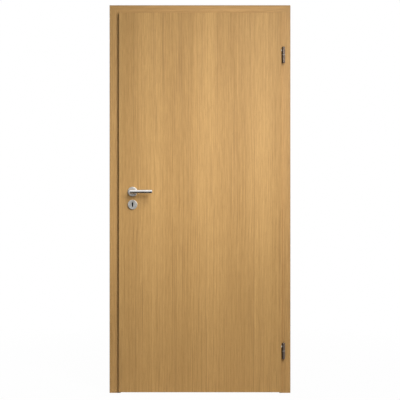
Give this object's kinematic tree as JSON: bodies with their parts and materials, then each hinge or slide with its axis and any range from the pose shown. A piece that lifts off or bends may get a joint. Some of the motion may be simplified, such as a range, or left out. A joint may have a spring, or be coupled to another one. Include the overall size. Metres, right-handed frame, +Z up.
{
  "type": "interior door with frame",
  "caption": "Rebated flush interior door: a wood-veneered leaf swings on lift-off hinges in a wrap-around wooden frame, with round-bar lever handles over key roses.",
  "frame": {"origin": "on the back of the hinge jamb's lining, at floor level, in the middle of the wall's thickness", "axes": "+X out of the hinge jamb into the wall, so the hinges are at +X; +Y through the wall, away from the side the leaf opens to; +Z up"},
  "size_m": [0.95, 0.2445, 2.035],
  "materials": {
    "frame_veneer": "satin",
    "leaf_veneer": "satin",
    "core_board": "matte",
    "seal": "matte",
    "satin_steel": "satin",
    "hinge_steel": "satin",
    "ring_plastic": "matte",
    "lock_steel": "satin"
  },
  "bodies": {
    "frame": {"hinge_jamb_lining": "frame_veneer", "lock_jamb_lining": "frame_veneer", "head_lining": "frame_veneer", "front_hinge_jamb_casing": "frame_veneer", "front_lock_jamb_casing": "frame_veneer", "front_head_casing": "frame_veneer", "back_hinge_jamb_casing": "frame_veneer", "back_lock_jamb_casing": "frame_veneer", "back_head_casing": "frame_veneer", "hinge_jamb_seal": "seal", "lock_jamb_seal": "seal", "head_seal": "seal", "strike_plate": "satin_steel", "upper_hinge_frame_half": "hinge_steel", "lower_hinge_frame_half": "hinge_steel", "upper_hinge_ring": "ring_plastic", "lower_hinge_ring": "ring_plastic"},
    "leaf": {"leaf_front_facing": "leaf_veneer", "leaf_lip_layer": "core_board", "leaf_core": "core_board", "leaf_back_facing": "leaf_veneer", "lock_faceplate": "satin_steel", "lock_case": "lock_steel", "latch_bolt": "lock_steel", "dead_bolt": "lock_steel", "front_lever_rose": "satin_steel", "back_lever_rose": "satin_steel", "front_key_rose": "satin_steel", "back_key_rose": "satin_steel", "upper_hinge_leaf_half": "hinge_steel", "lower_hinge_leaf_half": "hinge_steel"},
    "handle": {"front_lever": "satin_steel", "back_lever": "satin_steel", "spindle": "lock_steel"}
  },
  "joints": [
    {"name": "leaf_swing", "type": "hinge", "parent": "frame", "child": "leaf", "pos_m": [0.0115, -0.0965, 0.997], "axis": [0, 0, 1], "range_deg": [0, 175]},
    {"name": "lever_turn", "type": "hinge", "parent": "leaf", "child": "handle", "pos_m": [-0.778, -0.084, 1.056], "axis": [0, 1, 0], "range_deg": [0, 40], "stiffness_Nm_per_rad": 1.2, "springref_deg": -28.65}
  ]
}
